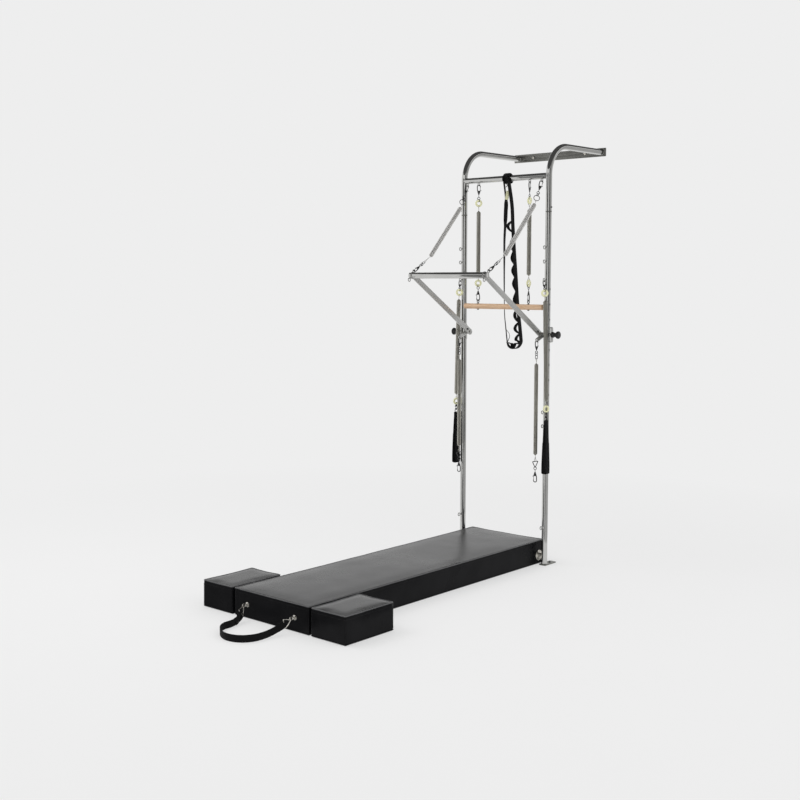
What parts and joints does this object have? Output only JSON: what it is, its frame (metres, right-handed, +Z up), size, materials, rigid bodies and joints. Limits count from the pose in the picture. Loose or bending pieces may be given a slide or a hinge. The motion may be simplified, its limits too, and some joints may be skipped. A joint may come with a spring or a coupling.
{
  "type": "pilates wall tower with mat",
  "caption": "Wall tower for mat exercises: bent tube frame through a raised mat, push-through bar, roll-down bar, springs, straps and side boxes.",
  "frame": {"origin": "the centre of the mat's underside, on the floor", "axes": "+X to the right as seen from the open end of the mat, +Y along the mat towards the wall, +Z up"},
  "size_m": [1.0058, 2.7547, 2.453],
  "materials": {
    "frame_steel": "glossy silver-grey",
    "bright_steel": "bright zinc",
    "dark_steel": "dark satin",
    "spring_steel": "drawn wire",
    "vinyl": "black upholstery vinyl",
    "plywood": "raw plywood",
    "webbing": "black woven webbing",
    "beech": "varnished",
    "knob_plastic": "glossy black"
  },
  "bodies": {
    "frame": {"mat_cushion": "vinyl", "mat_base_board": "plywood", "left_mat_eyebolt": "bright_steel", "right_mat_eyebolt": "bright_steel", "left_upright": "frame_steel", "right_upright": "frame_steel", "left_top_bend": "frame_steel", "right_top_bend": "frame_steel", "left_carriage": "frame_steel", "right_carriage": "frame_steel", "crossbar": "frame_steel", "wall_plate": "frame_steel", "foot_tube": "bright_steel", "left_foot_plate": "dark_steel", "right_foot_plate": "dark_steel", "left_mat_collar": "bright_steel", "right_mat_collar": "bright_steel"},
    "left_box": {"left_box_cushion": "vinyl", "left_box_base_board": "plywood"},
    "right_box": {"right_box_cushion": "vinyl", "right_box_base_board": "plywood"},
    "push_through": {"push_bar": "frame_steel", "left_arm": "frame_steel", "right_arm": "frame_steel"},
    "left_push_chain": {"left_push_hook_top": "bright_steel", "left_push_spring": "spring_steel"},
    "left_push_end": {"left_push_hook_bottom": "bright_steel"},
    "right_push_chain": {"right_push_hook_top": "bright_steel", "right_push_spring": "spring_steel"},
    "right_push_end": {"right_push_hook_bottom": "bright_steel"},
    "roll_chains": {"left_roll_hook_top": "bright_steel", "left_roll_spring": "spring_steel", "right_roll_hook_top": "bright_steel", "right_roll_spring": "spring_steel"},
    "roll_down": {"roll_bar": "beech", "left_roll_eyebolt": "bright_steel", "left_roll_hook_bottom": "bright_steel", "right_roll_eyebolt": "bright_steel", "right_roll_hook_bottom": "bright_steel"},
    "left_leg_chain": {"left_leg_hook_top": "bright_steel", "left_leg_spring": "spring_steel"},
    "left_leg_end": {"left_leg_hook_bottom": "bright_steel"},
    "left_hand_loop": {"left_handle": "webbing"},
    "right_leg_chain": {"right_leg_hook_top": "bright_steel", "right_leg_spring": "spring_steel"},
    "right_leg_end": {"right_leg_hook_bottom": "bright_steel"},
    "right_hand_loop": {"right_handle": "webbing"},
    "left_short_chain": {"left_short_hook_top": "bright_steel", "left_short_spring": "spring_steel"},
    "left_short_end": {"left_short_hook_bottom": "bright_steel"},
    "right_short_chain": {"right_short_hook_top": "bright_steel", "right_short_spring": "spring_steel"},
    "right_short_end": {"right_short_hook_bottom": "bright_steel"},
    "hanging_strap": {"loop_strap": "webbing"},
    "floor_strap": {"foot_strap": "webbing", "left_strap_hook": "bright_steel", "right_strap_hook": "bright_steel"},
    "left_knob": {"left_pull_knob": "knob_plastic"},
    "right_knob": {"right_pull_knob": "knob_plastic"}
  },
  "joints": [
    {"name": "left_box_slide", "type": "slide", "parent": "frame", "child": "left_box", "axis": [-1, 0, 0], "range_m": [0, 0.4]},
    {"name": "right_box_slide", "type": "slide", "parent": "frame", "child": "right_box", "axis": [1, 0, 0], "range_m": [0, 0.4]},
    {"name": "push_through_swing", "type": "hinge", "parent": "frame", "child": "push_through", "pos_m": [0, 0.917, 1.351], "axis": [1, 0, 0], "range_deg": [0, 60], "stiffness_Nm_per_rad": 60, "springref_deg": -17.19},
    {"name": "left_push_chain_swing", "type": "hinge", "parent": "frame", "child": "left_push_chain", "pos_m": [-0.268, 0.89979, 2.22943], "axis": [1, 0, 0], "range_deg": [0, 18]},
    {"name": "left_push_stretch", "type": "slide", "parent": "left_push_chain", "child": "left_push_end", "axis": [0, -0.6909, -0.7229], "range_m": [0, 0.553], "deforming": ["left_push_spring"]},
    {"name": "right_push_chain_swing", "type": "hinge", "parent": "frame", "child": "right_push_chain", "pos_m": [0.268, 0.89979, 2.22943], "axis": [1, 0, 0], "range_deg": [0, 18]},
    {"name": "right_push_stretch", "type": "slide", "parent": "right_push_chain", "child": "right_push_end", "axis": [0, -0.6909, -0.7229], "range_m": [0, 0.553], "deforming": ["right_push_spring"]},
    {"name": "roll_chains_swing", "type": "hinge", "parent": "frame", "child": "roll_chains", "pos_m": [0, 0.89979, 2.22943], "axis": [-1, 0, 0], "range_deg": [0, 8]},
    {"name": "roll_down_stretch", "type": "slide", "parent": "roll_chains", "child": "roll_down", "axis": [0, 0, -1], "range_m": [0, 0.04], "stiffness_N_per_m": 300, "springref_m": -0.08, "deforming": ["left_roll_spring", "right_roll_spring"]},
    {"name": "left_leg_chain_swing", "type": "hinge", "parent": "frame", "child": "left_leg_chain", "pos_m": [-0.305, 0.879, 1.66399], "axis": [-1, 0, 0], "range_deg": [0, 90]},
    {"name": "left_leg_stretch", "type": "slide", "parent": "left_leg_chain", "child": "left_leg_end", "axis": [0, 0, -1], "range_m": [0, 0.4], "stiffness_N_per_m": 150, "springref_m": -0.06, "deforming": ["left_leg_spring"]},
    {"name": "left_hand_loop_swing", "type": "hinge", "parent": "left_leg_end", "child": "left_hand_loop", "pos_m": [-0.325, 0.879, 0.87439], "axis": [-1, 0, 0], "range_deg": [0, 80]},
    {"name": "right_leg_chain_swing", "type": "hinge", "parent": "frame", "child": "right_leg_chain", "pos_m": [0.305, 0.879, 1.66399], "axis": [-1, 0, 0], "range_deg": [0, 90]},
    {"name": "right_leg_stretch", "type": "slide", "parent": "right_leg_chain", "child": "right_leg_end", "axis": [0, 0, -1], "range_m": [0, 0.4], "stiffness_N_per_m": 150, "springref_m": -0.06, "deforming": ["right_leg_spring"]},
    {"name": "right_hand_loop_swing", "type": "hinge", "parent": "right_leg_end", "child": "right_hand_loop", "pos_m": [0.325, 0.879, 0.87439], "axis": [-1, 0, 0], "range_deg": [0, 80]},
    {"name": "left_short_chain_swing", "type": "hinge", "parent": "frame", "child": "left_short_chain", "pos_m": [-0.282, 0.846, 1.321], "axis": [-1, 0, 0], "range_deg": [0, 90]},
    {"name": "left_short_stretch", "type": "slide", "parent": "left_short_chain", "child": "left_short_end", "axis": [0, 0, -1], "range_m": [0, 0.3], "stiffness_N_per_m": 150, "springref_m": -0.04, "deforming": ["left_short_spring"]},
    {"name": "right_short_chain_swing", "type": "hinge", "parent": "frame", "child": "right_short_chain", "pos_m": [0.282, 0.846, 1.321], "axis": [-1, 0, 0], "range_deg": [0, 90]},
    {"name": "right_short_stretch", "type": "slide", "parent": "right_short_chain", "child": "right_short_end", "axis": [0, 0, -1], "range_m": [0, 0.3], "stiffness_N_per_m": 150, "springref_m": -0.04, "deforming": ["right_short_spring"]},
    {"name": "hanging_strap_swing", "type": "hinge", "parent": "frame", "child": "hanging_strap", "pos_m": [0, 0.917, 2.254], "axis": [1, 0, 0], "range_deg": [0, 40]},
    {"name": "floor_strap_lift", "type": "hinge", "parent": "frame", "child": "floor_strap", "pos_m": [0, -0.987, 0.07], "axis": [-1, 0, 0], "range_deg": [0, 100]},
    {"name": "left_knob_pull", "type": "slide", "parent": "frame", "child": "left_knob", "axis": [-1, 0, 0], "range_m": [0, 0.012], "stiffness_N_per_m": 400, "springref_m": -0.005},
    {"name": "right_knob_pull", "type": "slide", "parent": "frame", "child": "right_knob", "axis": [1, 0, 0], "range_m": [0, 0.012], "stiffness_N_per_m": 400, "springref_m": -0.005}
  ],
  "couplings": [
    {"joint": "left_push_chain_swing", "follows": "push_through_swing", "ratio": 0.29811},
    {"joint": "left_push_stretch", "follows": "push_through_swing", "m_per_rad": 0.52693},
    {"joint": "right_push_chain_swing", "follows": "push_through_swing", "ratio": 0.29811},
    {"joint": "right_push_stretch", "follows": "push_through_swing", "m_per_rad": 0.52693}
  ]
}
